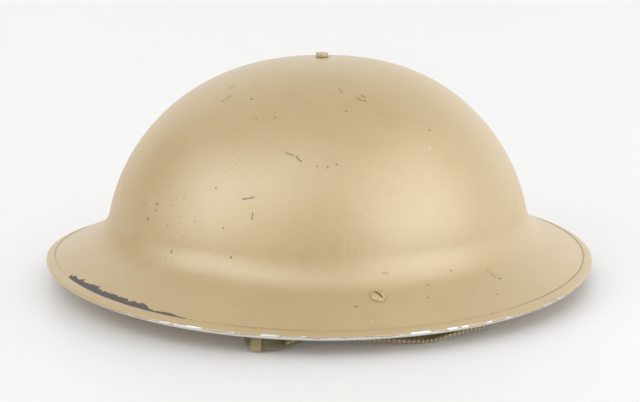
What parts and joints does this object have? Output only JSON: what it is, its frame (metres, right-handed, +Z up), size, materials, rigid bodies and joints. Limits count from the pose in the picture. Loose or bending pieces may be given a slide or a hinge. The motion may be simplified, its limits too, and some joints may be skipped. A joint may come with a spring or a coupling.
{
  "type": "steel helmet",
  "caption": "Pressed steel soup-bowl helmet with a wide brim, folded rim band, crown screw and elastic chin strap, standing on its strap and rim.",
  "frame": {"origin": "on the surface the helmet stands on, below the middle of its box", "axes": "+X towards the rear of the helmet along its length, +Y towards the wearer's right, +Z up"},
  "size_m": [0.3052, 0.2949, 0.1223],
  "materials": {
    "sand_paint": "semi-matte sand paint, chipped and scratched",
    "rim_steel": "sand paint worn to bare steel along the outer edge",
    "bare_steel": "dull bare steel",
    "olive_webbing": "woven cotton webbing, matte",
    "ochre_elastic": "woven elastic, matte"
  },
  "bodies": {
    "root": {"shell": "sand_paint", "rim_band": "rim_steel", "crown_screw": "sand_paint", "crown_nut": "bare_steel", "strap_lug_left": "sand_paint", "lug_screw_left": "sand_paint", "strap_lug_right": "sand_paint", "lug_screw_right": "sand_paint", "strap_tab_left": "olive_webbing", "strap_tab_right": "olive_webbing", "strap_elastic": "ochre_elastic", "strap_keeper": "olive_webbing"}
  },
  "joints": []
}
